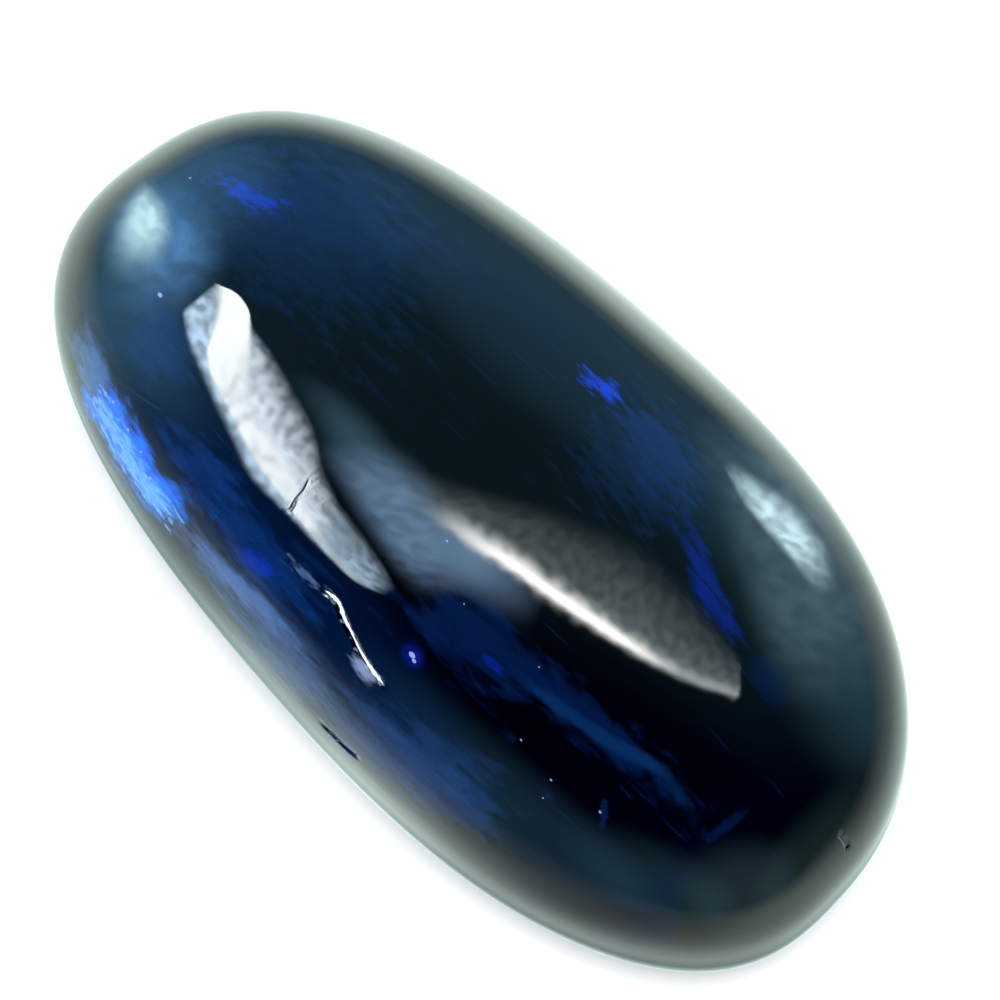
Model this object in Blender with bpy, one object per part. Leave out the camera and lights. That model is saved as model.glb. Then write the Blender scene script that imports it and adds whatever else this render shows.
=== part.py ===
"""A long oval cabochon cut from dark blue kyanite and polished all over.

One solid, in metres, +Z up. It lies on its flat base at z = 0, with the origin under the middle
of its outer box, its length along X and its width along Y.
"""
import math

import bmesh
import bpy

# Driving dimensions
LENGTH = 0.0160
WIDTH = 0.0081
HEIGHT = 0.0052
GIRDLE_HEIGHT = 0.0018
BASE_INSET = 0.0012

# How square the oval is: 2 is an ellipse, and more is fuller at the corners
OUTLINE_FULLNESS = 2.5

# What makes the oval uneven, as a stone cut by hand is: one half is wider, and its end is slanted
WIDE_HALF_GAIN = 0.10
END_SLANT = -0.00062

# Facets
STEPS_AROUND = 96
STEPS_UP_DOME = 19
STEPS_UNDER_GIRDLE = 7

NODE_NAME = "kyanite_cabochon"
KYANITE_BLUE = (0.012, 0.030, 0.085, 1.0)
KYANITE_ROUGHNESS = 0.04
KYANITE_IOR = 1.72


def clear_scene():
    """Remove the objects that a new file starts with."""
    for old in list(bpy.data.objects):
        bpy.data.objects.remove(old, do_unlink=True)


def signed_power(value, exponent):
    """Raise the size of a value to a power and keep its sign."""
    return math.copysign(abs(value) ** exponent, value)


def outline_point(angle, inset):
    """One point of the uneven oval, drawn in from the girdle by the inset."""
    along = signed_power(math.cos(angle), 2.0 / OUTLINE_FULLNESS)
    across = signed_power(math.sin(angle), 2.0 / OUTLINE_FULLNESS)
    x = (LENGTH / 2.0 - inset) * along
    if along > 0.0:
        x += END_SLANT * across * along ** 2
    y = (WIDTH / 2.0 - inset) * across * (1.0 + WIDE_HALF_GAIN * (along - along ** 3))
    return x, y


def outline(inset=0.0):
    """The oval as a list of points, counter-clockwise seen from above."""
    angles = [2.0 * math.pi * step / STEPS_AROUND for step in range(STEPS_AROUND)]
    return [outline_point(angle, inset) for angle in angles]


def box_middle(points):
    """The middle of the box around some points."""
    xs = [x for x, _ in points]
    ys = [y for _, y in points]
    return (min(xs) + max(xs)) / 2.0, (min(ys) + max(ys)) / 2.0


def profile_rings():
    """The stone's level rings from the base up: height, inset and scale of each."""
    rings = []
    for step in range(STEPS_UNDER_GIRDLE, 0, -1):
        turn = 0.5 * math.pi * step / STEPS_UNDER_GIRDLE
        inset = BASE_INSET * (1.0 - math.cos(turn))
        rings.append((GIRDLE_HEIGHT * (1.0 - math.sin(turn)), inset, 1.0))
    dome_height = HEIGHT - GIRDLE_HEIGHT
    for step in range(STEPS_UP_DOME):
        turn = 0.5 * math.pi * step / STEPS_UP_DOME
        rings.append((GIRDLE_HEIGHT + dome_height * math.sin(turn), 0.0, math.cos(turn)))
    return rings


def cabochon_mesh():
    """Stack the rings, close the base with one flat face and the top with a fan."""
    mid_x, mid_y = box_middle(outline())
    shape = bmesh.new()
    rings = []
    for height, inset, scale in profile_rings():
        ring = []
        for x, y in outline(inset):
            ring.append(shape.verts.new(((x - mid_x) * scale, (y - mid_y) * scale, height)))
        rings.append(ring)
    shape.faces.new(reversed(rings[0]))
    for lower, upper in zip(rings, rings[1:]):
        for here in range(STEPS_AROUND):
            beside = (here + 1) % STEPS_AROUND
            shape.faces.new((lower[here], lower[beside], upper[beside], upper[here]))
    top = shape.verts.new((0.0, 0.0, HEIGHT))
    for here in range(STEPS_AROUND):
        beside = (here + 1) % STEPS_AROUND
        shape.faces.new((rings[-1][here], rings[-1][beside], top))
    mesh = bpy.data.meshes.new(NODE_NAME)
    shape.to_mesh(mesh)
    shape.free()
    mesh.shade_smooth()
    return mesh


def kyanite_material():
    """Polished dark blue kyanite, which light passes through."""
    material = bpy.data.materials.new("kyanite")
    material.use_nodes = True
    shader = material.node_tree.nodes["Principled BSDF"]
    shader.inputs["Base Color"].default_value = KYANITE_BLUE
    shader.inputs["Metallic"].default_value = 0.0
    shader.inputs["Roughness"].default_value = KYANITE_ROUGHNESS
    shader.inputs["IOR"].default_value = KYANITE_IOR
    shader.inputs["Transmission Weight"].default_value = 1.0
    return material


def main():
    clear_scene()
    stone = bpy.data.objects.new(NODE_NAME, cabochon_mesh())
    stone.data.materials.append(kyanite_material())
    bpy.context.scene.collection.objects.link(stone)


main()
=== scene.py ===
"""The looks of a kyanite cabochon: one polished, see-through, dark blue stone on a pale floor.

Everything is in metres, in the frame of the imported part. Pixel values are places in the 1000 by
1000 photograph, and they are turned into places on or in the stone by casting the camera's own
rays at it.
"""
import math
import random

import bmesh
import bpy
import numpy as np
from mathutils import Matrix
from mathutils import Vector
from mathutils import noise
from mathutils.bvhtree import BVHTree
from mathutils.interpolate import poly_3d_calc


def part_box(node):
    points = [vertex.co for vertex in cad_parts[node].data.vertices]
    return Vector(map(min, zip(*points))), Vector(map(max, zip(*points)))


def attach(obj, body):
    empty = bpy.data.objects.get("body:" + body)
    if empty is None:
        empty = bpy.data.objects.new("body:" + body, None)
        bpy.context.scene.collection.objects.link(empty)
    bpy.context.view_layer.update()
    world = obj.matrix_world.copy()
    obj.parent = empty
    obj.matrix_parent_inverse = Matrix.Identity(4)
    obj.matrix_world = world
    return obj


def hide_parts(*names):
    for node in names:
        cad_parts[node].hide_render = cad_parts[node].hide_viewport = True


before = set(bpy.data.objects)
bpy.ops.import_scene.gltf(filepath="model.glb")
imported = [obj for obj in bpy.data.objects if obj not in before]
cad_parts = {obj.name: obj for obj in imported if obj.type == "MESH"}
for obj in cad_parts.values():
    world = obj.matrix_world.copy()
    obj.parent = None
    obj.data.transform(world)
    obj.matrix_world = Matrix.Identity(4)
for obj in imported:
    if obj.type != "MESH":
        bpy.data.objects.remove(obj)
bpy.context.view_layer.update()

NODE = "kyanite_cabochon"
BODY = "root"
HIGHEST_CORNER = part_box(NODE)[1]
MM = 0.001

# The stone's shape, as the solid has it
LENGTH = 0.0160
WIDTH = 0.0081
HEIGHT = HIGHEST_CORNER.z
GIRDLE_HEIGHT = 0.0018
BASE_INSET = 0.0012
OUTLINE_FULLNESS = 2.5
WIDE_HALF_GAIN = 0.10
END_SLANT = -0.00062

# The visual mesh is finer than the solid
STEPS_AROUND = 360
STEPS_DOME = 80
STEPS_UNDER = 24
STEPS_BASE = 8

# Polishing leaves the surface a little uneven, always inward from the solid's surface
POLISH_WAVES_PER_METRE = 420.0
POLISH_DEPTH = 0.004 * MM
PIT_SIZE = 0.055 * MM
PIT_DEPTH = 0.00016 * MM
DULL_PATCH_SIZE = 0.13 * MM
DULL_PATCH_CONTRAST = (0.42, 0.62)
DULL_ROUGHNESS = 0.055
LEAST_WEAR = 0.05

# The camera, as the photograph's viewpoint
PHOTO_SIZE = 1000.0
CAMERA_AZIMUTH = math.radians(49.1)
CAMERA_ELEVATION = math.radians(60.0)
CAMERA_DISTANCE = 0.120
PIXELS_PER_METRE = 68000.0
STONE_MIDDLE = Vector((0.0, 0.0, HEIGHT / 2.0))
STONE_MIDDLE_PIXEL = (480.4, 496.4)
SENSOR_WIDTH = 36.0
CLIP_START = 0.002

# Kyanite
KYANITE_IOR = 1.72
KYANITE_ROUGHNESS = 0.03
ABSORPTION_COLOUR = (0.04, 0.33, 0.66, 1.0)
ABSORPTION_DENSITY = 1200.0

# The floor, and the broad light on the camera's side that makes it white around the stone
FLOOR_HALF_SIZE = 0.4
FLOOR_LEVEL = -0.02 * MM
FLOOR_ALBEDO = 0.9
FILL_PLACE = Vector((0.014, -0.010, 0.062))
FILL_AIM = Vector((0.0, 0.0, 0.0))
FILL_DIAMETER = 0.150
FILL_POWER = 0.215

# The lit floor as the stone mirrors it, as light that only its reflections see. Each row has the
# heading from the camera's side, then the share of the full light 1, 3, 7 and 20 mm from the stone
FLOOR_GLOW = (
    (-180.0, 0.40, 0.63, 0.65, 0.15),
    (-130.0, 0.55, 0.62, 0.55, 0.25),
    (-90.0, 0.40, 0.32, 0.20, 0.05),
    (-60.0, 0.70, 0.40, 0.14, 0.02),
    (-30.0, 1.00, 0.48, 0.12, 0.02),
    (0.0, 0.62, 0.28, 0.17, 0.08),
    (40.0, 0.68, 0.55, 0.45, 0.12),
    (75.0, 0.88, 0.60, 0.26, 0.06),
    (110.0, 0.80, 0.52, 0.30, 0.10),
    (150.0, 0.50, 0.74, 0.68, 0.12),
    (180.0, 0.40, 0.63, 0.65, 0.15),
)
GLOW_REACHES = (1.0, 3.0, 7.0, 20.0, 60.0)

# The glow's share at the very edge of the stone, and the millimetres over which it grows
GLOW_AT_EDGE = 0.42
GLOW_EDGE_REACH = 0.5
GLOW_COLOUR = (0.82, 1.0, 0.90)
GLOW_STRENGTH = 2.2

# The glow's rings: under the stone by an inset, with a share, and around it by a reach
GLOW_RINGS_IN = ((1.15, 0.25), (0.80, 0.50), (0.40, 0.80))
GLOW_RINGS_OUT = (0.0, 0.5, 1.0, 1.5, 2.2, 3.0, 4.0, 5.5, 7.0, 9.0, 12.0, 16.0, 20.0, 28.0, 40.0, 60.0)
GLOW_STEPS_AROUND = 120
GLOW_LEVEL = 0.03 * MM

# The dim studio, as mirrored by the dome: dark towards the camera and hazy beyond the stone
SKY_RAMP = (
    (0.00, (0.10, 0.24, 0.30)),
    (0.30, (0.07, 0.19, 0.27)),
    (0.75, (0.045, 0.15, 0.17)),
    (1.00, (0.04, 0.10, 0.12)),
)
SKY_DARK_FRONT = 0.30
SKY_LIT_BACK = -0.30

# Soft glows of the studio: heading from the camera's side, height, edge and colour
SKY_GLOWS = (
    (114.0, 18.0, 0.82, (0.08, 0.23, 0.25)),
    (150.0, 24.0, 0.80, (0.07, 0.16, 0.30)),
    (-170.0, 16.0, 0.84, (0.03, 0.12, 0.34)),
    (-146.0, 8.0, 0.90, (0.18, 0.52, 0.95)),
    (-112.0, 8.0, 0.88, (0.17, 0.46, 0.62)),
    (-88.0, 0.0, 0.75, (0.00, 0.08, 0.42)),
    (-42.0, 2.0, 0.82, (0.08, 0.25, 0.42)),
    (-6.0, 6.0, 0.82, (0.10, 0.28, 0.32)),
    (30.0, 6.0, 0.80, (0.17, 0.34, 0.40)),
    (60.0, -4.0, 0.86, (0.09, 0.22, 0.22)),
)

# Steps of the grids that the soft lights and the inner planes are made of
CARD_STEPS_ALONG = 110
CARD_STEPS_ACROSS = 32
VEIL_STEPS_ALONG = 40
VEIL_STEPS_ACROSS = 8
VEIL_THICKNESS = 0.004 * MM
VEIL_ROUGHNESS = 0.5
GRAIN_STRETCH = (0.22, 1.0, 1.0)

# Marks on the surface, as lines of pixels
FRACTURE = (
    (324, 590), (330, 595), (338, 603), (343, 617), (350, 631), (356, 644), (364, 659), (374, 674),
    (384, 686),
)
FRACTURE_WIDTHS = (1.2, 5.0, 4.8, 3.4, 1.4, 2.2, 3.6, 5.2, 2.0)
HIGHLIGHT_CRACK = ((289, 512), (292, 507), (297, 498), (304, 491), (309, 480))
EDGE_CHIP = ((322, 724), (338, 740), (357, 757))
EDGE_TICK = ((841, 834), (848, 848))
SCRATCHES = (
    ((352, 366), (362, 362), (370, 352)),
    ((492, 302), (508, 296)),
    ((108, 374), (135, 392), (160, 408)),
)

# How the marks are cut: each line with its width and depth in millimetres
GROOVES = (
    (FRACTURE, 0.045, 0.022),
    (HIGHLIGHT_CRACK, 0.013, 0.0045),
    (EDGE_CHIP, 0.045, 0.030),
    (EDGE_TICK, 0.040, 0.020),
    *((scratch, 0.020, 0.003) for scratch in SCRATCHES),
)
GROOVE_REACH = 4.0 * MM
RAGGED_PER_METRE = 9000.0
RAGGED_SHARE = 0.6
REFINE_REACH = 0.12 * MM
REFINE_CUTS = 5

# The whitened lip of the fracture: its steps along, and the place across and depth of its rows
FLAKE_STEPS = 90
FLAKE_ROWS = ((-1.0, 0.030), (-0.45, 0.012), (0.0, 0.006), (0.5, 0.014), (1.0, 0.030))
FLAKE_SINK = 0.008
FLAKE_LIFT = 0.006
FLAKE_THICKNESS = 0.006 * MM
FLAKE_WHITE = (0.80, 0.86, 0.95)
FLAKE_ROUGHNESS = 0.35

# Where the polish is pitted, as pixels with a reach in pixels
WORN_PLACES = (
    (258, 350, 14), (270, 374, 22), (282, 404, 24), (296, 436, 24), (306, 470, 22), (262, 462, 10),
    (318, 500, 18), (345, 540, 20),
)

# Edges of the reflections in the photograph, as lines of pixels
LEFT_LIGHT = ((
    (181, 311), (186, 342), (197, 369), (213, 405), (230, 440), (245, 472), (260, 491), (281, 510),
    (305, 536), (329, 560), (354, 582), (384, 596),
), (
    (215, 283), (236, 293), (248, 308), (253, 327), (270, 350), (289, 382), (305, 409), (317, 437),
    (323, 466), (336, 497), (358, 527), (382, 562), (397, 590),
))
FRONT_LINE = (
    (420, 503), (450, 523), (480, 544), (510, 563), (562, 600), (613, 634), (659, 662), (697, 679),
    (739, 695),
)
FRONT_LINE_HALF = 24.0
FRONT_LIGHT = (
    ((376, 486), (440, 526), (508, 571), (600, 638), (680, 682), (741, 698)),
    ((400, 456), (477, 484), (560, 506), (640, 540), (696, 592), (742, 656)),
)
MIDDLE_HAZE = (
    ((300, 440), (330, 482), (362, 534), (410, 600)),
    ((410, 440), (444, 484), (476, 535), (505, 600)),
)
FRONT_SOFT = (
    ((380, 540), (420, 572), (470, 606), (530, 640)),
    ((390, 470), (440, 496), (500, 530), (560, 580)),
)
SIDE_HAZE = (
    ((270, 360), (304, 420), (330, 480), (352, 530)),
    ((340, 380), (390, 430), (430, 490), (460, 540)),
)
CORNER_PATCH = (
    ((98, 285), (98, 245), (110, 205), (132, 176)),
    ((162, 290), (178, 252), (178, 214), (162, 176)),
)
CORNER_HAZE = (
    ((92, 330), (96, 270), (116, 205), (150, 165)),
    ((208, 330), (230, 285), (234, 240), (205, 182)),
)
CORNER_SPOT = (
    ((110, 266), (112, 236), (122, 206), (137, 180)),
    ((164, 268), (176, 240), (172, 210), (152, 182)),
)
RIGHT_PATCH = (
    ((720, 462), (738, 498), (762, 530), (788, 560), (814, 594)),
    ((730, 458), (770, 482), (808, 514), (832, 550), (846, 598)),
)
RIGHT_HAZE = (
    ((660, 410), (694, 470), (720, 550), (744, 630), (790, 720)),
    ((770, 410), (845, 500), (880, 590), (892, 650), (880, 720)),
)

# Clouds of the lights: the length and width of the light and the size of a cloud in pixels, and
# the place in the noise that they start from
CLOUD_OCTAVES = 3
CLOUD_CONTRAST = 0.9
LEFT_CLOUDS = (340.0, 60.0, 9.0, 3.1)
LINE_CLOUDS = (380.0, 48.0, 12.0, 5.2)
FRONT_CLOUDS = (420.0, 80.0, 9.0, 9.2)
CORNER_CLOUDS = (110.0, 70.0, 10.0, 1.7)
RIGHT_CLOUDS = (160.0, 50.0, 9.0, 4.4)
HAZE_CLOUDS = (350.0, 110.0, 15.0, 8.8)

# Along the left light, where its clouding, which paints the mottled reflection of the worn polish,
# and the dim tail begin, as a start and a length
LEFT_WORN_REFLECTION = (0.16, 0.12)
LEFT_TAIL = (0.68, 0.10)
LEFT_SOFT_TAIL = (0.62, 0.15)

# Where the left light's white core begins and ends across it, at some shares of its length
LEFT_CORE = (
    (0.00, 0.04, 0.10, 0.14, 0.20, 0.27, 0.33, 0.42, 0.50, 0.58, 0.64, 0.70, 0.79, 0.89, 1.00),
    (0.95, 0.67, 0.42, 0.21, 0.12, 0.11, 0.12, 0.13, 0.16, 0.15, 0.12, 0.09, 0.04, 0.02, 0.00),
    (1.05, 1.05, 1.04, 1.00, 0.86, 0.62, 0.48, 0.50, 0.57, 0.56, 0.48, 0.42, 0.20, 0.15, 0.00),
)

# Inner cleavage planes whose glow is painted light, as lines of pixels
LEFT_GLOW = ((84, 366), (102, 402), (130, 452), (158, 494), (196, 536))
LEFT_GLOW_EDGE = ((92, 388), (112, 428), (136, 470), (164, 508), (180, 528))
LEFT_GLOW_TOP = ((74, 318), (86, 350), (98, 384), (112, 410))
LILAC_BAND = ((170, 515), (215, 566), (262, 628), (312, 690), (400, 752))
LILAC_LINE = ((158, 496), (182, 530), (210, 558), (240, 588), (270, 616), (300, 652), (330, 694))
FRACTURE_START = ((284, 556), (302, 572), (318, 586), (332, 598))
LILAC_SPOT = ((232, 545), (252, 562), (278, 590))
SIDE_BLUE = ((150, 380), (190, 450), (240, 530), (300, 600), (360, 660))
CORNER_BLUE = ((120, 300), (165, 340), (180, 400))
LOWER_BLUE = ((296, 660), (340, 708), (395, 750), (460, 792), (540, 832))
TOP_FLASH = ((204, 181), (236, 189), (264, 203), (296, 212))
TOP_HAZE_GLOW = ((170, 165), (260, 190), (350, 215), (450, 270))
UPPER_CLOUD_GLOW = ((150, 250), (240, 245), (340, 262), (460, 330))
MIDDLE_CLOUD_GLOW = ((560, 420), (640, 470), (700, 540))
RIGHT_STREAK_TOP = ((610, 400), (660, 445), (700, 520))
MIDDLE_FLASH = ((566, 368), (592, 381), (616, 396), (630, 408))
RIGHT_STREAK = ((680, 505), (694, 550), (714, 600), (744, 654))
MIDDLE_BLUE = ((400, 570), (470, 632), (550, 700))
LONG_STREAK = ((430, 590), (520, 662), (600, 732), (650, 775), (706, 850))
LONG_STREAK_LINE = ((470, 640), (539, 692), (608, 740), (656, 768), (684, 800), (704, 850))
SHORT_ARM = ((694, 850), (722, 829), (756, 803))
SMALL_STREAK = ((605, 792), (602, 832))
END_OVAL = ((748, 650), (768, 680), (788, 712))
LOWER_FLASH = ((478, 652), (494, 666), (508, 680))
PINPOINT_GLOW = ((398, 640), (412, 656), (424, 674))
FRACTURE_SMEAR = ((350, 650), (358, 664), (368, 678), (376, 688))

# Small crystals under the surface, bright with a painted glow, as pixels with a size in pixels
PINPOINTS = (
    (160, 295, 5), (412, 655, 6), (414, 661, 4), (521, 740, 2), (551, 780, 2), (543, 798, 1.5),
    (464, 604, 1.5), (539, 667, 1.5), (190, 178, 2.5), (600, 812, 2.5), (113, 402, 3),
    (128, 430, 3), (141, 452, 2.5), (122, 447, 2.5), (150, 478, 3), (134, 466, 2.5), (447, 541, 2),
)
INCLUSION_ROUGHNESS = 0.4
PINPOINT_DEPTH = 0.10 * MM
PINPOINT_SHAPE = (1.4, 0.8, 1.0)
# The crystals' colour, which is also the colour of their painted glow, and that glow's strength
PINPOINT_BLUE = (0.38, 0.50, 1.0)
PINPOINT_STRENGTH = 0.8

# Fine fibres along the stone: their number, and the spans that their sizes and depths come from
FIBRE_SEED = 7
FIBRE_COUNT = 100
FIBRE_HALF_LENGTHS = (0.15, 0.9)
FIBRE_DEPTHS = (0.5, 2.0)
FIBRE_HALF_THICKNESSES = (0.004, 0.010)
FIBRE_TURN = 0.05
FIBRE_TILT = 0.04
FIBRE_EDGE_SHARE = 0.90
# The fibres' colour, which is also the colour of their painted glow, and that glow's strength
FIBRE_BLUE = (0.04, 0.16, 0.40)
FIBRE_STRENGTH = 0.02

# The cleavage plane in the far side, in millimetres: its ends along the stone, its place across
# it at the middle, how much it bends, its levels, and its painted glow's colour, strength, grain
# and patchiness
FAR_BLADE_ALONG = (-5.0, -0.8)
FAR_BLADE_ACROSS = 2.95
FAR_BLADE_BEND = -0.030
FAR_BLADE_LEVELS = (0.4, 1.5)
FAR_BLADE_LOOK = ((0.03, 0.20, 1.0), 0.30, 0.16, 1.4)


def camera_axes():
    """The camera's right, up and back directions."""
    sin_az = math.sin(CAMERA_AZIMUTH)
    cos_az = math.cos(CAMERA_AZIMUTH)
    sin_el = math.sin(CAMERA_ELEVATION)
    cos_el = math.cos(CAMERA_ELEVATION)
    back = Vector((sin_az * cos_el, -cos_az * cos_el, sin_el))
    right = Vector((cos_az, sin_az, 0.0))
    return right, back.cross(right), back


RIGHT, UP, BACK = camera_axes()
AIM = (
    STONE_MIDDLE
    + RIGHT * ((PHOTO_SIZE / 2.0 - STONE_MIDDLE_PIXEL[0]) / PIXELS_PER_METRE)
    - UP * ((PHOTO_SIZE / 2.0 - STONE_MIDDLE_PIXEL[1]) / PIXELS_PER_METRE)
)
EYE = AIM + BACK * CAMERA_DISTANCE


def add_object(name, data):
    """Put a mesh, light or camera in the scene as an object."""
    made = bpy.data.objects.new(name, data)
    bpy.context.scene.collection.objects.link(made)
    return made


def make_camera():
    """The camera at the photograph's viewing angle."""
    data = bpy.data.cameras.new("camera")
    data.sensor_width = SENSOR_WIDTH
    data.lens = SENSOR_WIDTH * CAMERA_DISTANCE * PIXELS_PER_METRE / PHOTO_SIZE
    data.clip_start = CLIP_START
    camera = add_object("camera", data)
    camera.location = EYE
    camera.rotation_euler = BACK.to_track_quat("Z", "Y").to_euler()
    bpy.context.scene.camera = camera


def view_direction(pixel):
    """The direction of the camera's ray through a pixel of the photograph."""
    focal = CAMERA_DISTANCE * PIXELS_PER_METRE
    across = (pixel[0] - PHOTO_SIZE / 2.0) / focal
    upward = (PHOTO_SIZE / 2.0 - pixel[1]) / focal
    return (RIGHT * across + UP * upward - BACK).normalized()


def pixel_of(point):
    """The pixel of the photograph at which a point would be seen."""
    offset = point - EYE
    depth = -offset.dot(BACK)
    focal = CAMERA_DISTANCE * PIXELS_PER_METRE
    return (
        PHOTO_SIZE / 2.0 + offset.dot(RIGHT) / depth * focal,
        PHOTO_SIZE / 2.0 - offset.dot(UP) / depth * focal,
    )


def signed_power(values, exponent):
    """Raise the size of values to a power and keep their signs."""
    return np.sign(values) * np.abs(values) ** exponent


def outline(inset=0.0):
    """The uneven oval as an array of points, drawn in from the girdle by the inset."""
    angles = np.arange(STEPS_AROUND) * (2.0 * math.pi / STEPS_AROUND)
    along = signed_power(np.cos(angles), 2.0 / OUTLINE_FULLNESS)
    across = signed_power(np.sin(angles), 2.0 / OUTLINE_FULLNESS)
    slant = np.where(along > 0.0, END_SLANT * along ** 2, 0.0)
    x = (LENGTH / 2.0 - inset) * along + slant * across
    y = (WIDTH / 2.0 - inset) * across * (1.0 + WIDE_HALF_GAIN * (along - along ** 3))
    return np.stack([x, y], 1)


def centred_outline():
    """The girdle's outline with the middle of its box at the origin."""
    girdle = outline()
    return girdle - (girdle.min(0) + girdle.max(0)) / 2.0


def stone_rings():
    """Rings of points from the middle of the base, under the girdle and up the dome."""
    girdle = outline()
    middle = (girdle.min(0) + girdle.max(0)) / 2.0
    rings = []

    def add(flat, scale, height):
        level = np.full(STEPS_AROUND, height)
        rings.append(np.column_stack([(flat - middle) * scale, level]))

    base = outline(BASE_INSET)
    for step in range(1, STEPS_BASE):
        add(base, step / STEPS_BASE, 0.0)
    for step in range(STEPS_UNDER, 0, -1):
        turn = 0.5 * math.pi * step / STEPS_UNDER
        add(outline(BASE_INSET * (1.0 - math.cos(turn))), 1.0, GIRDLE_HEIGHT * (1.0 - math.sin(turn)))
    for step in range(STEPS_DOME):
        turn = 0.5 * math.pi * step / STEPS_DOME
        add(girdle, math.cos(turn), GIRDLE_HEIGHT + (HEIGHT - GIRDLE_HEIGHT) * math.sin(turn))
    return rings


def make_stone():
    """The polished stone as one closed mesh that stands for the solid."""
    rings = stone_rings()
    points = [(0.0, 0.0, 0.0)] + [tuple(p) for ring in rings for p in ring] + [(0.0, 0.0, HEIGHT)]
    top = len(points) - 1
    last = 1 + (len(rings) - 1) * STEPS_AROUND
    faces = []
    for here in range(STEPS_AROUND):
        beside = (here + 1) % STEPS_AROUND
        faces.append((0, 1 + beside, 1 + here))
        for ring in range(len(rings) - 1):
            low = 1 + ring * STEPS_AROUND
            high = low + STEPS_AROUND
            faces.append((low + here, low + beside, high + beside, high + here))
        faces.append((last + here, last + beside, top))
    mesh = bpy.data.meshes.new("polished_stone")
    mesh.from_pydata(points, [], faces)
    mesh.shade_smooth()
    return add_object("polished_stone", mesh)


class Surface:
    """The stone's smooth surface, to be hit by rays."""

    def __init__(self, stone):
        mesh = stone.data
        mesh.calc_loop_triangles()
        self.points = [v.co.copy() for v in mesh.vertices]
        self.normals = [v.normal.copy() for v in mesh.vertices]
        self.triangles = [tuple(t.vertices) for t in mesh.loop_triangles]
        self.tree = BVHTree.FromPolygons(self.points, self.triangles)

    def normal_at(self, point, index):
        """The smooth normal at a point of one triangle."""
        corners = self.triangles[index]
        weights = poly_3d_calc([self.points[c] for c in corners], point)
        normal = Vector((0.0, 0.0, 0.0))
        for corner, weight in zip(corners, weights):
            normal += self.normals[corner] * weight
        return normal.normalized()

    def seen_at(self, pixel):
        """The point of the stone seen at a pixel, its normal, and the ray that sees it."""
        ray = view_direction(pixel)
        point, _, index, _ = self.tree.ray_cast(EYE, ray)
        if point is None:
            point, _, index, _ = self.tree.find_nearest(EYE + ray * CAMERA_DISTANCE)
        return point, self.normal_at(point, index), ray

    def light_place(self, pixel, distance):
        """Where a light has to be for its reflection to be seen at a pixel."""
        point, normal, ray = self.seen_at(pixel)
        mirrored = ray - 2.0 * ray.dot(normal) * normal
        offset = point - STONE_MIDDLE
        half = offset.dot(mirrored)
        reach = -half + math.sqrt(half * half - offset.length_squared + distance ** 2)
        return point + mirrored * reach

    def place_inside(self, pixel, depth):
        """The point inside the stone that is seen at a pixel, at a depth along the bent ray."""
        point, normal, ray = self.seen_at(pixel)
        ratio = 1.0 / KYANITE_IOR
        cosine = -ray.dot(normal)
        inner = math.sqrt(1.0 - ratio * ratio * (1.0 - cosine * cosine))
        bent = ray * ratio + normal * (ratio * cosine - inner)
        return point + bent.normalized() * depth


def smooth(value):
    """A soft step from 0 to 1 as the value goes from 0 to 1."""
    value = min(max(value, 0.0), 1.0)
    return value * value * (3.0 - 2.0 * value)


def bump(value, rise):
    """Zero at both ends of 0 to 1, and one between them."""
    return smooth(value / rise) * smooth((1.0 - value) / rise)


def mix(first, second, share):
    """The value at a share of the way from the first to the second."""
    return first + (second - first) * share


def curve_point(line, share):
    """A point at a share of the way along a smooth curve through the pixels of a line."""
    lengths = [math.dist(a, b) for a, b in zip(line, line[1:])]
    left = share * sum(lengths)
    index = 0
    while index < len(lengths) - 1 and left > lengths[index]:
        left -= lengths[index]
        index += 1
    part = min(max(left / lengths[index], 0.0), 1.0)
    before = line[max(index - 1, 0)]
    start = line[index]
    end = line[index + 1]
    after = line[min(index + 2, len(line) - 1)]
    place = []
    for axis in range(2):
        a, b, c, d = before[axis], start[axis], end[axis], after[axis]
        bend = (2.0 * a - 5.0 * b + 4.0 * c - d) * part ** 2 + (3.0 * b - a - 3.0 * c + d) * part ** 3
        place.append(0.5 * (2.0 * b + (c - a) * part + bend))
    return tuple(place)


def offset_line(line, distance):
    """A line of pixels moved sideways, for the other edge of a narrow band."""
    moved = []
    for index, point in enumerate(line):
        before = line[max(index - 1, 0)]
        after = line[min(index + 1, len(line) - 1)]
        run = (after[0] - before[0], after[1] - before[1])
        length = math.hypot(*run)
        moved.append((point[0] - run[1] / length * distance, point[1] + run[0] / length * distance))
    return tuple(moved)


def new_material(name):
    """An empty material with its nodes and links."""
    material = bpy.data.materials.new(name)
    material.use_nodes = True
    material.node_tree.nodes.clear()
    return material, material.node_tree.nodes, material.node_tree.links


def add_node(nodes, kind, values):
    """A shader node with the values of its sockets."""
    node = nodes.new("ShaderNode" + kind)
    for socket, value in values.items():
        node.inputs[socket].default_value = value
    return node


def plain_shader(nodes, links, settings):
    """A material's surface shader with some of its sockets set, and the material's output."""
    shader = add_node(nodes, "BsdfPrincipled", settings)
    output = nodes.new("ShaderNodeOutputMaterial")
    links.new(shader.outputs["BSDF"], output.inputs["Surface"])
    return shader, output


def levelled_mesh(name, points, faces, levels):
    """A mesh whose points carry a level that fades its material."""
    mesh = bpy.data.meshes.new(name)
    mesh.from_pydata(points, [], faces)
    mesh.attributes.new("level", "FLOAT", "POINT").data.foreach_set("value", levels)
    return mesh


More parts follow.
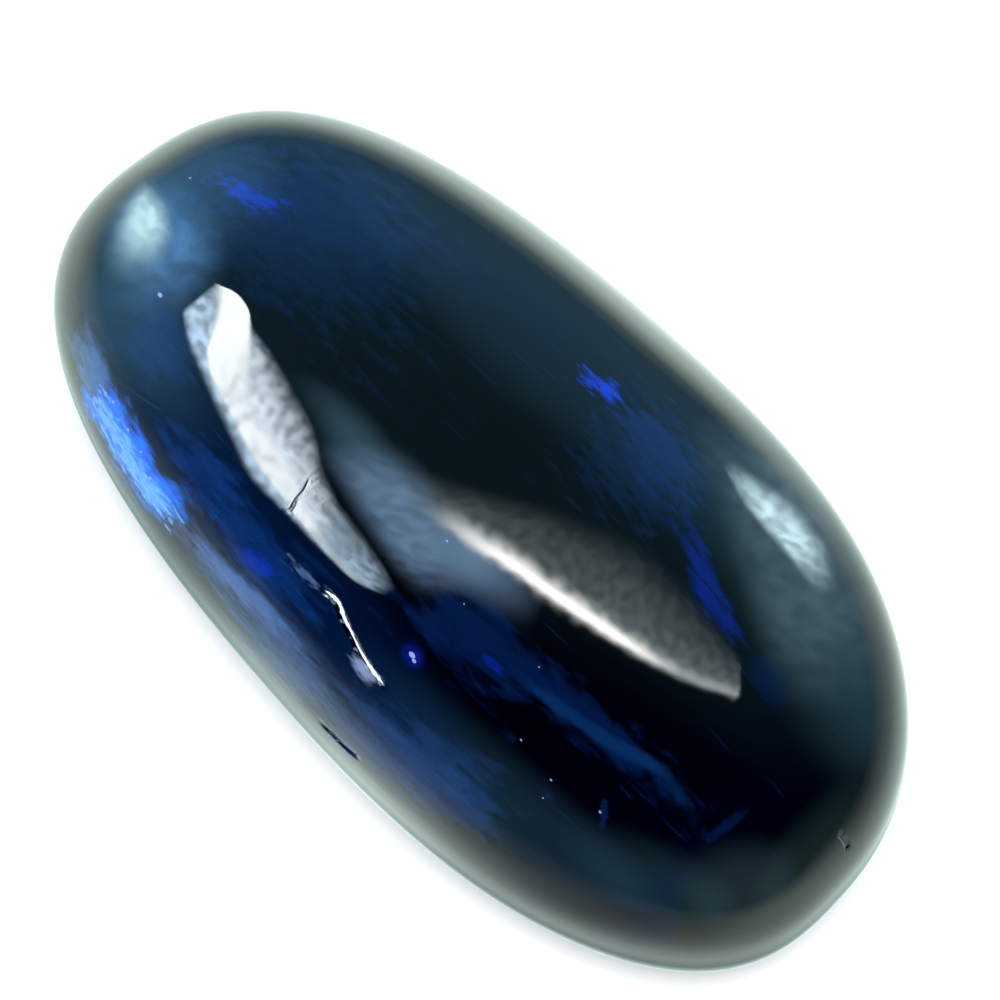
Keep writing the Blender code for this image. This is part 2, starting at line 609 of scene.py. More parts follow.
def soft_grid(name, first_edge, second_edge, steps_along, steps_across, place, level):
    """A grid between two curves of pixels, with a level that fades its material."""
    points = []
    levels = []
    for step in range(steps_along + 1):
        along = step / steps_along
        first = curve_point(first_edge, along)
        second = curve_point(second_edge, along)
        for cross in range(steps_across + 1):
            across = cross / steps_across
            pixel = (mix(first[0], second[0], across), mix(first[1], second[1], across))
            points.append(place(pixel))
            levels.append(level(along, across))
    faces = []
    row = steps_across + 1
    for step in range(steps_along):
        for cross in range(steps_across):
            corner = step * row + cross
            faces.append((corner, corner + 1, corner + row + 1, corner + row))
    mesh = levelled_mesh(name, points, faces, levels)
    mesh.shade_smooth()
    return add_object(name, mesh)


def thicken(sheet, thickness, offset=-1.0):
    """Close a sheet into a thin solid."""
    thick = sheet.modifiers.new("thickness", "SOLIDIFY")
    thick.thickness = thickness
    thick.offset = offset


def mirrored_only(piece):
    """Let only the stone's reflections see a piece of the studio."""
    piece.visible_camera = False
    piece.visible_diffuse = False
    piece.visible_transmission = False
    piece.visible_shadow = False
    piece.visible_volume_scatter = False


def card_material(name, colour, strength):
    """A light that fades out, to let what is behind it be mirrored, where its level falls."""
    material, nodes, links = new_material(name)
    glow = add_node(nodes, "Emission", {"Color": (*colour, 1.0), "Strength": strength})
    clear = nodes.new("ShaderNodeBsdfTransparent")
    level = nodes.new("ShaderNodeAttribute")
    level.attribute_name = "level"
    mixed = nodes.new("ShaderNodeMixShader")
    output = nodes.new("ShaderNodeOutputMaterial")
    links.new(level.outputs["Fac"], mixed.inputs["Fac"])
    links.new(clear.outputs["BSDF"], mixed.inputs[1])
    links.new(glow.outputs["Emission"], mixed.inputs[2])
    links.new(mixed.outputs["Shader"], output.inputs["Surface"])
    material.cycles.emission_sampling = "NONE"
    return material


def mottle(along, across, length, width, size, seed):
    """Soft cloudiness of a light, from 0 to 1, for a size of cloud in pixels."""
    place = Vector((along * length / size, across * width / size, seed))
    cloud = noise.fractal(place, 1.0, 2.0, CLOUD_OCTAVES)
    return smooth(0.5 + CLOUD_CONTRAST * cloud)


def light_card(surface, name, edges, colour, strength, level, distance):
    """A soft light whose reflection fills the space between two curves of pixels."""

    def place(pixel):
        return surface.light_place(pixel, distance)

    card = soft_grid(name, *edges, CARD_STEPS_ALONG, CARD_STEPS_ACROSS, place, level)
    card.data.materials.append(card_material(name, colour, strength))
    mirrored_only(card)


def outline_gauge():
    """A function that tells how far out to the girdle's outline a point lies, as a share."""
    girdle = centred_outline()
    angles = np.arctan2(girdle[:, 1], girdle[:, 0])
    radii = np.hypot(girdle[:, 0], girdle[:, 1])
    order = np.argsort(angles)

    def gauge(x, y):
        radius = np.interp(math.atan2(y, x), angles[order], radii[order], period=2.0 * math.pi)
        return math.hypot(x, y) / radius

    return gauge


def distance_to_line(point, line):
    """The distance from a point to a line of points, and how far along the line that is."""
    best = None
    for index, (start, end) in enumerate(zip(line, line[1:])):
        run = end - start
        share = min(max((point - start).dot(run) / run.length_squared, 0.0), 1.0)
        away = (point - start - run * share).length
        if best is None or away < best[0]:
            best = (away, (index + share) / (len(line) - 1))
    return best


def refine_near(shape, lines, gauge):
    """Divide the faces of the dome near some lines, and put the new points on the dome."""
    near = set()
    for vertex in shape.verts:
        if any(distance_to_line(vertex.co, line)[0] < REFINE_REACH for line in lines):
            near.add(vertex.index)
    faces = [face for face in shape.faces if any(vertex.index in near for vertex in face.verts)]
    edges = list({edge for face in faces for edge in face.edges})
    known = len(shape.verts)
    bmesh.ops.subdivide_edges(shape, edges=edges, cuts=REFINE_CUTS, use_grid_fill=True)
    shape.verts.ensure_lookup_table()
    dome_height = HEIGHT - GIRDLE_HEIGHT
    for vertex in shape.verts[known:]:
        if vertex.co.z > GIRDLE_HEIGHT:
            share = min(gauge(vertex.co.x, vertex.co.y), 1.0)
            vertex.co.z = GIRDLE_HEIGHT + dome_height * math.sqrt(1.0 - share * share)


def groove_depth(point, line, width, depth):
    """How deep a ragged groove is at a point, shallower towards its ends."""
    away, along = distance_to_line(point, line)
    if away >= 2.0 * width:
        return 0.0
    ragged = 1.0 + RAGGED_SHARE * noise.noise(point * RAGGED_PER_METRE)
    return depth * smooth(1.6 - away / (width * ragged)) * smooth(8.0 * min(along, 1.0 - along) + 0.3)


def wear_at(pixel):
    """How worn the polish is at a pixel of the photograph, 1 at most."""
    worn = LEAST_WEAR
    for x, y, reach in WORN_PLACES:
        worn += math.exp(-((pixel[0] - x) ** 2 + (pixel[1] - y) ** 2) / (reach * reach))
    return min(worn, 1.0)


def finish_stone(stone, surface):
    """Cut the marks into the stone's surface, and make its polish a little uneven."""
    cuts = []
    for line, width, depth in GROOVES:
        cuts.append(([surface.seen_at(pixel)[0] for pixel in line], width * MM, depth * MM))
    shape = bmesh.new()
    shape.from_mesh(stone.data)
    refine_near(shape, [line for line, _, _ in cuts], outline_gauge())
    shape.normal_update()
    worn = shape.verts.layers.float.new("worn")
    moves = []
    for vertex in shape.verts:
        waves = noise.noise(vertex.co * POLISH_WAVES_PER_METRE)
        inward = POLISH_DEPTH * (0.55 + 0.45 * waves)
        for line, width, depth in cuts:
            if (vertex.co - line[0]).length < GROOVE_REACH:
                inward += groove_depth(vertex.co, line, width, depth)
        if vertex.normal.dot(BACK) > 0.0:
            vertex[worn] = wear_at(pixel_of(vertex.co))
        moves.append(vertex.normal * inward)
    for vertex, move in zip(shape.verts, moves):
        vertex.co -= move
    shape.to_mesh(stone.data)
    shape.free()
    stone.data.shade_smooth()


def make_fracture_flake(surface):
    """The broken, whitened lip of the fracture, as a thin ragged strip that lies in its groove."""
    shape = bmesh.new()
    rows = []
    for step in range(FLAKE_STEPS + 1):
        along = step / FLAKE_STEPS
        here = curve_point(FRACTURE, along)
        ahead = curve_point(FRACTURE, min(along + 0.01, 1.0))
        behind = curve_point(FRACTURE, max(along - 0.01, 0.0))
        run = Vector((ahead[0] - behind[0], ahead[1] - behind[1])).normalized()
        place = along * (len(FRACTURE_WIDTHS) - 1)
        low = min(int(place), len(FRACTURE_WIDTHS) - 2)
        half = 0.5 * mix(FRACTURE_WIDTHS[low], FRACTURE_WIDTHS[low + 1], place - low)
        row = []
        for side, depth in FLAKE_ROWS:
            ragged = noise.noise(Vector((along * 64.0, side * 3.0, 0.5)))
            lift = noise.noise(Vector((along * 60.0, side * 5.0, 7.5)))
            reach = half * side * (1.0 + 0.9 * ragged)
            pixel = (here[0] - run.y * reach, here[1] + run.x * reach)
            point, normal, _ = surface.seen_at(pixel)
            sunk = (depth + FLAKE_LIFT * lift + FLAKE_SINK) * MM
            row.append(shape.verts.new(point - normal * sunk))
        rows.append(row)
    for first, second in zip(rows, rows[1:]):
        for cross in range(len(FLAKE_ROWS) - 1):
            shape.faces.new((first[cross], first[cross + 1], second[cross + 1], second[cross]))
    mesh = bpy.data.meshes.new("fracture_flake")
    shape.to_mesh(mesh)
    shape.free()
    material, nodes, links = new_material("fractured_kyanite")
    plain_shader(nodes, links, {"Base Color": (*FLAKE_WHITE, 1.0), "Roughness": FLAKE_ROUGHNESS})
    mesh.materials.append(material)
    flake = add_object("fracture_flake", mesh)
    thicken(flake, FLAKE_THICKNESS, 0.0)
    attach(flake, BODY)


def kyanite_material():
    """Clear kyanite that takes up red light, with a polish that is pitted and dulled where worn."""
    material, nodes, links = new_material("kyanite")
    shader, output = plain_shader(nodes, links, {
        "Base Color": (1.0, 1.0, 1.0, 1.0),
        "IOR": KYANITE_IOR,
        "Transmission Weight": 1.0,
    })
    volume = add_node(nodes, "VolumeAbsorption", {
        "Color": ABSORPTION_COLOUR,
        "Density": ABSORPTION_DENSITY,
    })
    worn = nodes.new("ShaderNodeAttribute")
    worn.attribute_name = "worn"
    place = nodes.new("ShaderNodeTexCoord")
    pits = add_node(nodes, "TexNoise", {"Scale": 1.0 / PIT_SIZE, "Detail": 3.0})
    patches = add_node(nodes, "TexNoise", {
        "Scale": 1.0 / DULL_PATCH_SIZE,
        "Detail": 4.0,
        "Roughness": 0.7,
    })
    contrast = add_node(nodes, "MapRange", {
        "From Min": DULL_PATCH_CONTRAST[0],
        "From Max": DULL_PATCH_CONTRAST[1],
    })
    dulled = nodes.new("ShaderNodeMath")
    dulled.operation = "MULTIPLY"
    rough = add_node(nodes, "MapRange", {"To Min": KYANITE_ROUGHNESS, "To Max": DULL_ROUGHNESS})
    bumps = add_node(nodes, "Bump", {"Distance": PIT_DEPTH})
    links.new(place.outputs["Object"], pits.inputs["Vector"])
    links.new(pits.outputs["Fac"], bumps.inputs["Height"])
    links.new(worn.outputs["Fac"], bumps.inputs["Strength"])
    links.new(place.outputs["Object"], patches.inputs["Vector"])
    links.new(patches.outputs["Fac"], contrast.inputs["Value"])
    links.new(contrast.outputs["Result"], dulled.inputs[0])
    links.new(worn.outputs["Fac"], dulled.inputs[1])
    links.new(dulled.outputs["Value"], rough.inputs["Value"])
    links.new(rough.outputs["Result"], shader.inputs["Roughness"])
    links.new(bumps.outputs["Normal"], shader.inputs["Normal"])
    links.new(volume.outputs["Volume"], output.inputs["Volume"])
    return material


def make_floor():
    """The plain pale floor, which only the camera sees, because the stone mirrors the glow."""
    mesh = bpy.data.meshes.new("floor")
    half = FLOOR_HALF_SIZE
    corners = ((-half, -half), (half, -half), (half, half), (-half, half))
    mesh.from_pydata([(x, y, FLOOR_LEVEL) for x, y in corners], [], [(0, 1, 2, 3)])
    floor = add_object("floor", mesh)
    material, nodes, links = new_material("floor")
    shader = add_node(nodes, "BsdfDiffuse", {"Color": (FLOOR_ALBEDO, FLOOR_ALBEDO, FLOOR_ALBEDO, 1.0)})
    output = nodes.new("ShaderNodeOutputMaterial")
    links.new(shader.outputs["BSDF"], output.inputs["Surface"])
    mesh.materials.append(material)
    floor.visible_glossy = False


def make_fill_light():
    """A broad light above the camera's side that makes the floor white around the stone."""
    data = bpy.data.lights.new("fill_light", "AREA")
    data.shape = "DISK"
    data.size = FILL_DIAMETER
    data.energy = FILL_POWER
    light = add_object("fill_light", data)
    light.location = FILL_PLACE
    light.rotation_euler = (FILL_PLACE - FILL_AIM).to_track_quat("Z", "Y").to_euler()
    light.visible_glossy = False
    light.visible_transmission = False
    light.visible_camera = False


def glow_share(heading, reach):
    """The share of the floor's full light at a heading and a reach from the stone."""
    for first, second in zip(FLOOR_GLOW, FLOOR_GLOW[1:]):
        if first[0] <= heading <= second[0]:
            part = smooth((heading - first[0]) / (second[0] - first[0]))
            shares = [mix(a, b, part) for a, b in zip(first[1:], second[1:])] + [0.0]
    if reach <= GLOW_REACHES[0]:
        return shares[0] * mix(GLOW_AT_EDGE, 1.0, smooth(reach / GLOW_EDGE_REACH))
    return float(np.interp(math.log(reach), np.log(GLOW_REACHES), shares))


def make_floor_glow():
    """The light of the floor around the stone, which fades into the studio with distance."""
    girdle = centred_outline()
    flat = outline()
    middle = (flat.min(0) + flat.max(0)) / 2.0
    points = []
    levels = []
    for step in range(GLOW_STEPS_AROUND):
        place = step * STEPS_AROUND // GLOW_STEPS_AROUND
        x, y = girdle[place]
        outward = Vector((x, y, 0.0)).normalized()
        heading = math.degrees(math.atan2(outward.x, -outward.y) - CAMERA_AZIMUTH)
        heading = (heading + 180.0) % 360.0 - 180.0
        for inset, share in GLOW_RINGS_IN:
            inner = outline(inset * MM)[place] - middle
            points.append(Vector((*inner, GLOW_LEVEL)))
            levels.append(share * glow_share(heading, GLOW_REACHES[0]))
        for reach in GLOW_RINGS_OUT:
            points.append(Vector((x, y, GLOW_LEVEL)) + outward * (reach * MM))
            levels.append(glow_share(heading, reach))
    faces = []
    row = len(GLOW_RINGS_IN) + len(GLOW_RINGS_OUT)
    for step in range(GLOW_STEPS_AROUND):
        here = step * row
        beside = (step + 1) % GLOW_STEPS_AROUND * row
        for cross in range(row - 1):
            faces.append((here + cross, here + cross + 1, beside + cross + 1, beside + cross))
    mesh = levelled_mesh("floor_glow", points, faces, levels)
    mesh.materials.append(card_material("floor_glow", GLOW_COLOUR, GLOW_STRENGTH))
    mirrored_only(add_object("floor_glow", mesh))


def heading_direction(heading, height):
    """A direction from its heading to the right of the camera's side and its height angle."""
    turn = CAMERA_AZIMUTH + math.radians(heading)
    flat = math.cos(math.radians(height))
    return Vector((math.sin(turn) * flat, -math.cos(turn) * flat, math.sin(math.radians(height))))


def make_world():
    """The dim studio around the stone, dark on the camera's side."""
    world = bpy.data.worlds.new("studio")
    bpy.context.scene.world = world
    world.use_nodes = True
    nodes = world.node_tree.nodes
    links = world.node_tree.links
    nodes.clear()
    place = nodes.new("ShaderNodeTexCoord")

    def side_share(direction, low, high):
        """How far a direction of the sky is towards another, from 0 at low to 1 at high."""
        dot = add_node(nodes, "VectorMath", {1: direction})
        dot.operation = "DOT_PRODUCT"
        share = add_node(nodes, "MapRange", {"From Min": low, "From Max": high})
        share.interpolation_type = "SMOOTHSTEP"
        links.new(place.outputs["Generated"], dot.inputs[0])
        links.new(dot.outputs["Value"], share.inputs["Value"])
        return share.outputs["Result"]

    def scaled(colour, share):
        """A colour, or a node's colour, times a share."""
        product = nodes.new("ShaderNodeVectorMath")
        product.operation = "SCALE"
        if isinstance(colour, tuple):
            product.inputs[0].default_value = colour
        else:
            links.new(colour, product.inputs[0])
        links.new(share, product.inputs["Scale"])
        return product.outputs["Vector"]

    parts = nodes.new("ShaderNodeSeparateXYZ")
    sky = nodes.new("ShaderNodeValToRGB")
    elements = sky.color_ramp.elements
    while len(elements) < len(SKY_RAMP):
        elements.new(0.5)
    for element, (position, colour) in zip(elements, SKY_RAMP):
        element.position = position
        element.color = (*colour, 1.0)
    links.new(place.outputs["Generated"], parts.inputs["Vector"])
    links.new(parts.outputs["Z"], sky.inputs["Fac"])
    front = heading_direction(0.0, 0.0)
    total = scaled(sky.outputs["Color"], side_share(front, SKY_DARK_FRONT, SKY_LIT_BACK))
    for heading, height, edge, colour in SKY_GLOWS:
        glow = scaled(colour, side_share(heading_direction(heading, height), edge, 1.0))
        added = nodes.new("ShaderNodeVectorMath")
        added.operation = "ADD"
        links.new(total, added.inputs[0])
        links.new(glow, added.inputs[1])
        total = added.outputs["Vector"]
    back = nodes.new("ShaderNodeBackground")
    output = nodes.new("ShaderNodeOutputWorld")
    links.new(total, back.inputs["Color"])
    links.new(back.outputs["Background"], output.inputs["Surface"])


def painted_glow_material(name, colour, strength, grain_size, patchy):
    """An inner cleavage plane whose cloudy, fibrous glow is painted light, made by emission."""
    material, nodes, links = new_material(name)
    level = nodes.new("ShaderNodeAttribute")
    level.attribute_name = "level"
    place = nodes.new("ShaderNodeTexCoord")
    stretch = add_node(nodes, "Mapping", {"Scale": GRAIN_STRETCH})
    grain = add_node(nodes, "TexNoise", {"Scale": 1.0 / grain_size, "Detail": 3.0, "Roughness": 0.65})
    uneven = add_node(nodes, "Math", {1: 2.0 * patchy})
    uneven.operation = "MULTIPLY_ADD"
    contrast = add_node(nodes, "MapRange", {
        "From Min": 0.10 + patchy,
        "From Max": 1.15 + patchy,
        "To Max": 0.9,
    })
    contrast.interpolation_type = "SMOOTHSTEP"
    shader, _ = plain_shader(nodes, links, {
        "Base Color": (*colour, 1.0),
        "Roughness": VEIL_ROUGHNESS,
        "Emission Color": (*colour, 1.0),
        "Emission Strength": strength,
    })
    links.new(place.outputs["Object"], stretch.inputs["Vector"])
    links.new(stretch.outputs["Vector"], grain.inputs["Vector"])
    links.new(grain.outputs["Fac"], uneven.inputs[0])
    links.new(level.outputs["Fac"], uneven.inputs[2])
    links.new(uneven.outputs[0], contrast.inputs["Value"])
    links.new(contrast.outputs["Result"], shader.inputs["Alpha"])
    material.cycles.emission_sampling = "NONE"
    return material


def add_sheet(name, edges, place, level, colour, strength, grain_size, patchy):
    """A thin closed sheet inside the stone, with a painted glow."""
    sheet = soft_grid(name, *edges, VEIL_STEPS_ALONG, VEIL_STEPS_ACROSS, place, level)
    sheet.data.materials.append(painted_glow_material(name, colour, strength, grain_size * MM, patchy))
    thicken(sheet, VEIL_THICKNESS)
    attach(sheet, BODY)


def veil(surface, name, line, width, depth, colour, strength, grain_size, patchy, rise=0.45):
    """An inner plane with a painted glow, seen along a curve of pixels, and faded at its edges."""

    def place(pixel):
        return surface.place_inside(pixel, depth * MM)

    def level(along, across):
        return bump(along, rise) * bump(across, 0.5)

    first = offset_line(line, width / 2.0)
    second = offset_line(line, -width / 2.0)
    add_sheet(name, (first, second), place, level, colour, strength, grain_size, patchy)


def ramp(value, span):
    """A soft step from 0 to 1 over a span, which is a start and a length."""
    return smooth((value - span[0]) / span[1])


def left_core(along, across):
    """The left light's core and the grey beside it, clouded to paint the worn polish's mottled
    reflection.
    """
    left, right = (float(np.interp(along, LEFT_CORE[0], border)) for border in LEFT_CORE[1:])
    cloud = mottle(along, across, *LEFT_CLOUDS)
    worn = ramp(along, LEFT_WORN_REFLECTION)
    tail = ramp(along, LEFT_TAIL)
    right += 0.16 * worn * (cloud - 0.5)
    core = smooth((across - left) / mix(0.34, 0.07, smooth(along / 0.14)))
    core *= smooth((right + 0.05 - across) / mix(0.06, 0.16, worn))
    core *= (1.0 - 0.50 * worn * cloud) * mix(1.0, 0.50, tail)
    grey = mix(0.46, 0.14, smooth((across - right) / 0.50)) * (1.55 - 1.45 * cloud)
    grey *= smooth((across - right + 0.1) / 0.2) * smooth((1.02 - across) / 0.20)
    ends = smooth(along / 0.015) * smooth((1.0 - along) / 0.12)
    return ends * max(core, worn * grey * mix(1.0, 0.04, tail))


def left_soft(along, across):
    """The bluish light behind the core, dimmer to its right and in the tail."""
    fade = mix(1.0, 0.42, smooth((across - 0.35) / 0.6)) * mix(1.0, 0.66, ramp(along, LEFT_SOFT_TAIL))
    fade *= 1.0 - 0.60 * mottle(along, across, *LEFT_CLOUDS)
    side = smooth((1.03 - across) / mix(0.05, 0.26, smooth(along / 0.4)))
    ends = smooth(along / 0.02) * smooth((1.0 - along) / 0.08)
    return fade * side * ends * smooth(across / 0.13)


def line_level(along, across):
    """The thin bright line, wider above than below, that dims towards its right end."""
    aside = (across - 0.5) * 2.0 * FRONT_LINE_HALF
    spread = mix(9.5, 8.0, smooth(along / 0.35)) * mix(1.0, 0.70, smooth((along - 0.45) / 0.30))
    spread *= 0.75 if aside < 0.0 else 1.15
    spread *= 0.82 + 0.36 * mottle(along, across, *LINE_CLOUDS)
    peak = mix(0.12, 1.0, smooth((along - 0.02) / 0.30))
    peak *= mix(1.0, 0.15, smooth((along - 0.62) / 0.24))
    fade = smooth(along / 0.12) * smooth((1.0 - along) / 0.012)
    return peak * fade * math.exp(-(aside / spread) ** 2)


def front_level(along, across):
    """The haze above the line, brightest just over it."""
    haze = 0.24 * smooth((1.0 - across) / 0.50) + 0.16 * math.exp(-(across / 0.40) ** 2)
    haze += 0.34 * math.exp(-(across / 0.30) ** 2) * smooth((along - 0.35) / 0.40)
    haze *= smooth(along / 0.22) * (1.15 - 0.5 * mottle(along, across, *FRONT_CLOUDS))
    return min(haze, 1.0) * smooth(across / 0.08) * smooth((1.0 - along) / 0.012)


def patch_level(along, across):
    """A plain soft patch."""
    return bump(along, 0.5) * bump(across, 0.5)


def corner_level(along, across):
    """A clouded soft patch."""
    return patch_level(along, across) * (1.15 - 0.45 * mottle(along, across, *CORNER_CLOUDS))


def right_level(along, across):
    """A clouded patch with a crisper left side."""
    sides = smooth(across / 0.22) * smooth((1.0 - across) / 0.60)
    return bump(along, 0.42) * sides * (1.0 - 0.5 * mottle(along, across, *RIGHT_CLOUDS))


def haze_level(along, across):
    """A wide, faintly clouded haze."""
    sides = smooth(across / 0.35) * smooth((1.0 - across) / 0.50)
    return bump(along, 0.35) * sides * (1.0 - 0.4 * mottle(along, across, *HAZE_CLOUDS))


def make_lights(surface):
    """The studio's soft lights, each placed by where its reflection lies in the photograph.

    Each has its edges, its colour and strength, its level and its distance from the stone. A
    nearer light hides the ones behind it in proportion to its level.
    """
    half = FRONT_LINE_HALF
    line = (offset_line(FRONT_LINE, half), offset_line(FRONT_LINE, -half))
    cards = (
        ("left_light", LEFT_LIGHT, (0.95, 1.0, 1.0), 14.0, left_core, 0.100),
        ("left_light_soft", LEFT_LIGHT, (0.58, 0.80, 1.0), 12.5, left_soft, 0.102),
        ("front_line", line, (1.0, 1.0, 0.97), 17.0, line_level, 0.101),
        ("front_light", FRONT_LIGHT, (0.78, 0.98, 1.0), 3.6, front_level, 0.103),
        ("front_soft", FRONT_SOFT, (0.36, 0.64, 1.0), 4.2, patch_level, 0.1045),
        ("middle_haze", MIDDLE_HAZE, (0.38, 0.64, 1.0), 4.8, haze_level, 0.106),
        ("side_haze", SIDE_HAZE, (0.34, 0.74, 1.0), 1.3, patch_level, 0.107),
        ("corner_spot", CORNER_SPOT, (0.62, 0.94, 1.0), 9.5, corner_level, 0.099),
        ("corner_patch", CORNER_PATCH, (0.42, 0.78, 1.0), 5.0, corner_level, 0.100),
        ("corner_haze", CORNER_HAZE, (0.18, 0.50, 1.0), 5.0, corner_level, 0.104),
        ("right_patch", RIGHT_PATCH, (0.66, 0.92, 1.0), 11.6, right_level, 0.100),
        ("right_haze", RIGHT_HAZE, (0.45, 0.80, 1.0), 1.7, haze_level, 0.104),
    )
    for card in cards:
        light_card(surface, *card)


def inclusion_material(name, colour, strength):
    """A mineral with a faint painted glow."""
    material, nodes, links = new_material(name)
    plain_shader(nodes, links, {
        "Base Color": (*colour, 1.0),
        "Roughness": INCLUSION_ROUGHNESS,
        "Emission Color": (*colour, 1.0),
        "Emission Strength": strength,
    })
    material.cycles.emission_sampling = "NONE"
    return material


def inclusion_piece(name, shape, material):
    """A piece inside the stone from a finished shape."""
    mesh = bpy.data.meshes.new(name)
    shape.to_mesh(mesh)
    shape.free()
    mesh.shade_smooth()
    mesh.materials.append(material)
    piece = add_object(name, mesh)
    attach(piece, BODY)


def make_pinpoints(surface):
    """Small crystals just under the surface, made bright by a painted glow."""
    shape = bmesh.new()
    for x, y, size in PINPOINTS:
        middle = surface.place_inside((x, y), PINPOINT_DEPTH)
        radius = 0.5 * size / PIXELS_PER_METRE
        stretch = Matrix.Diagonal((*(radius * side for side in PINPOINT_SHAPE), 1.0))
        place = Matrix.Translation(middle) @ stretch
        bmesh.ops.create_icosphere(shape, subdivisions=2, radius=1.0, matrix=place)
    material = inclusion_material("pinpoint", PINPOINT_BLUE, PINPOINT_STRENGTH)
    inclusion_piece("pinpoint_crystals", shape, material)


def make_fibres():
    """Fine blades of kyanite that run along the stone, as slim closed slivers with a faint painted
    glow.
    """
    chance = random.Random(FIBRE_SEED)
    shape = bmesh.new()
    gauge = outline_gauge()
    made = 0
    while made < FIBRE_COUNT:
        x = chance.uniform(-0.46, 0.46) * LENGTH
        y = chance.uniform(-0.44, 0.44) * WIDTH
        half = chance.uniform(*FIBRE_HALF_LENGTHS) * MM
        end_share = max(gauge(x - half, y), gauge(x + half, y))
        if end_share > FIBRE_EDGE_SHARE:
            continue
        roof = GIRDLE_HEIGHT + (HEIGHT - GIRDLE_HEIGHT) * math.sqrt(1.0 - end_share * end_share)
        z = roof - chance.uniform(*FIBRE_DEPTHS) * MM
        wide = chance.uniform(*FIBRE_HALF_THICKNESSES) * MM
        turn = chance.uniform(-FIBRE_TURN, FIBRE_TURN)
        tilt = chance.uniform(-FIBRE_TILT, FIBRE_TILT)
        along = Vector((math.cos(turn), math.sin(turn), tilt))
        middle = Vector((x, y, z))
        ends = [shape.verts.new(middle - along * half), shape.verts.new(middle + along * half)]
        sides = []
        for step in range(4):
            angle = 0.5 * math.pi * step
            aside = Vector((0.0, math.cos(angle) * wide * 2.0, math.sin(angle) * wide))
            sides.append(shape.verts.new(middle + aside))
        for step in range(4):
            beside = (step + 1) % 4
            shape.faces.new((ends[0], sides[beside], sides[step]))
            shape.faces.new((ends[1], sides[step], sides[beside]))
        made += 1
    inclusion_piece("kyanite_fibres", shape, inclusion_material("fibre", FIBRE_BLUE, FIBRE_STRENGTH))


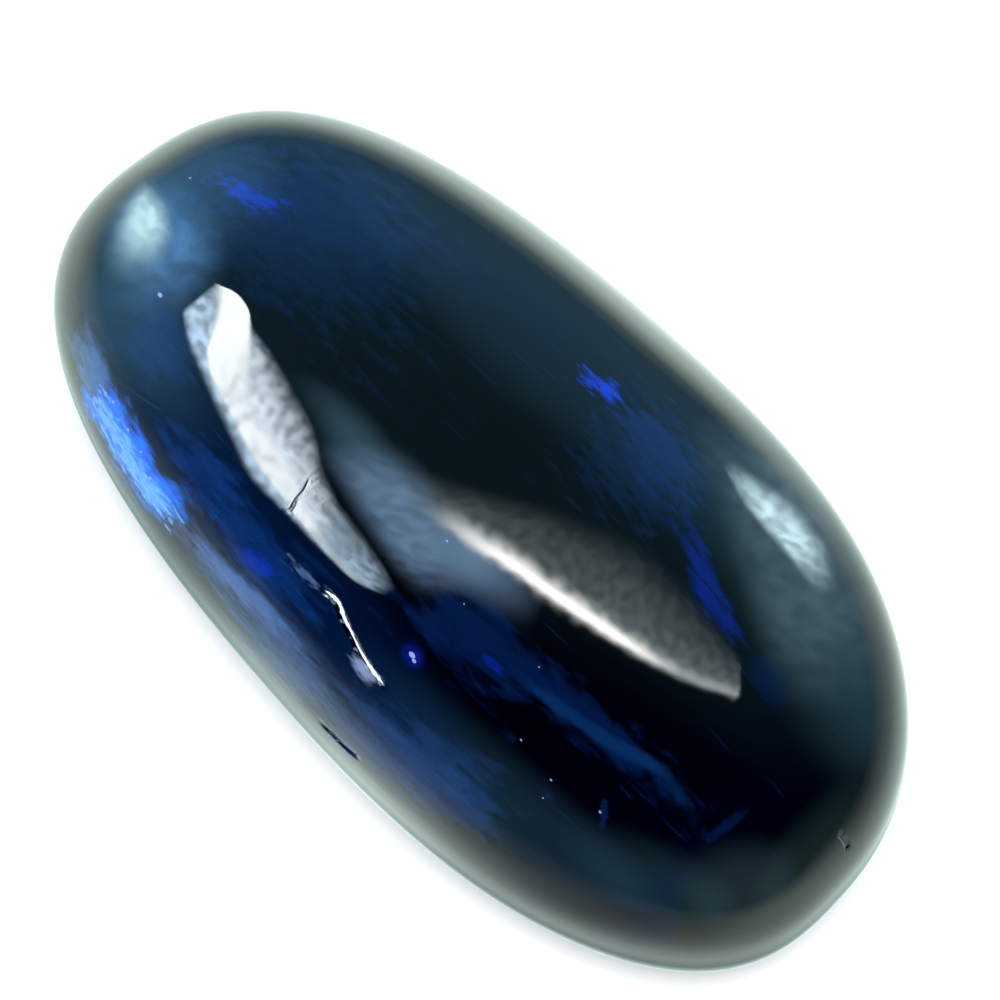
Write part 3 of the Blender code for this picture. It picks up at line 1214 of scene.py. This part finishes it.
def make_inner_planes(surface):
    """Inner planes with a painted glow: their width in pixels and depth and grain in millimetres."""
    # Colours of the planes and of their painted glow
    blue = (0.020, 0.12, 1.0)
    deep = (0.006, 0.05, 0.55)
    night = (0.012, 0.09, 0.32)
    pale = (0.20, 0.55, 1.0)
    lilac = (0.22, 0.40, 0.76)
    misty_glow = (0.05, 0.16, 0.34)
    planes = (
        ("left_glow", LEFT_GLOW, 58, 0.60, (0.02, 0.29, 1.0), 0.88, 0.16, 1.0, 0.30),
        ("left_glow_edge", LEFT_GLOW_EDGE, 26, 0.30, pale, 0.80, 0.07, 2.2, 0.25),
        ("left_glow_top", LEFT_GLOW_TOP, 46, 0.40, (0.16, 0.36, 0.66), 0.36, 0.20, 0.9),
        ("lilac_band", LILAC_BAND, 70, 0.40, (0.12, 0.30, 0.60), 0.10, 0.26, 1.1),
        ("lilac_line", LILAC_LINE, 32, 0.28, lilac, 0.27, 0.18, 0.9, 0.42),
        ("fracture_start", FRACTURE_START, 11, 0.12, (0.30, 0.42, 0.75), 0.17, 0.06, 2.2, 0.40),
        ("lilac_spot", LILAC_SPOT, 40, 0.55, blue, 0.22, 0.20, 1.0),
        ("fracture_smear", FRACTURE_SMEAR, 20, 0.10, (0.55, 0.62, 0.85), 0.34, 0.10, 0.9),
        ("pinpoint_glow", PINPOINT_GLOW, 34, 0.25, (0.02, 0.03, 1.0), 0.022, 0.30, 0.3, 0.50),
        ("lower_blue", LOWER_BLUE, 104, 0.50, (0.03, 0.12, 0.36), 0.20, 0.26, 0.9, 0.40),
        ("side_blue", SIDE_BLUE, 80, 0.70, night, 0.30, 0.20, 1.2, 0.40),
        ("corner_blue", CORNER_BLUE, 110, 0.90, night, 0.24, 0.30, 1.0),
        ("lower_flash", LOWER_FLASH, 18, 0.70, blue, 0.15, 0.10, 1.2),
        ("middle_blue", MIDDLE_BLUE, 130, 0.90, night, 0.19, 0.22, 1.3),
        ("top_flash", TOP_FLASH, 34, 0.80, blue, 0.34, 0.12, 1.3),
        ("top_haze_glow", TOP_HAZE_GLOW, 150, 1.00, (0.04, 0.15, 0.36), 0.13, 0.16, 1.3),
        ("middle_flash", MIDDLE_FLASH, 26, 0.80, blue, 0.6, 0.10, 1.5),
        ("right_streak", RIGHT_STREAK, 40, 0.90, deep, 0.36, 0.16, 0.9, 0.40),
        ("right_streak_top", RIGHT_STREAK_TOP, 80, 1.10, (0.02, 0.12, 0.40), 0.27, 0.12, 1.5),
        ("long_streak", LONG_STREAK, 62, 0.90, night, 0.18, 0.20, 1.1),
        ("long_streak_line", LONG_STREAK_LINE, 24, 0.75, (0.02, 0.15, 0.42), 0.26, 0.16, 0.5, 0.40),
        ("short_arm", SHORT_ARM, 18, 0.80, night, 0.08, 0.12, 0.5),
        ("small_streak", SMALL_STREAK, 14, 0.60, night, 0.12, 0.12, 0.7),
        ("end_oval", END_OVAL, 56, 0.80, (0.004, 0.05, 0.26), 0.11, 0.30, 0.4),
        ("upper_cloud_glow", UPPER_CLOUD_GLOW, 210, 1.50, misty_glow, 0.12, 0.16, 1.3),
        ("middle_cloud_glow", MIDDLE_CLOUD_GLOW, 150, 1.50, misty_glow, 0.15, 0.12, 1.3),
    )
    for plane in planes:
        veil(surface, *plane)


def make_far_blade():
    """A cleavage plane with a painted glow in the side turned away from the camera, so that it isn't
    empty.
    """

    def place(spot):
        x, z = spot
        return Vector((x, FAR_BLADE_ACROSS + FAR_BLADE_BEND * x * x, z)) * MM

    def level(along, up):
        return bump(along, 0.4) * bump(up, 0.5)

    start, end = FAR_BLADE_ALONG
    middle = (start + end) / 2.0
    edges = [((start, z), (middle, z), (end, z)) for z in FAR_BLADE_LEVELS]
    add_sheet("far_blade", edges, place, level, *FAR_BLADE_LOOK)


def main():
    make_camera()
    stone = make_stone()
    surface = Surface(stone)
    finish_stone(stone, surface)
    stone.data.materials.append(kyanite_material())
    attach(stone, BODY)
    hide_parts(NODE)
    make_inner_planes(surface)
    make_far_blade()
    make_pinpoints(surface)
    make_fibres()
    make_fracture_flake(surface)
    make_lights(surface)
    make_floor()
    make_floor_glow()
    make_fill_light()
    make_world()
    bpy.context.scene.view_settings.view_transform = "Standard"


main()
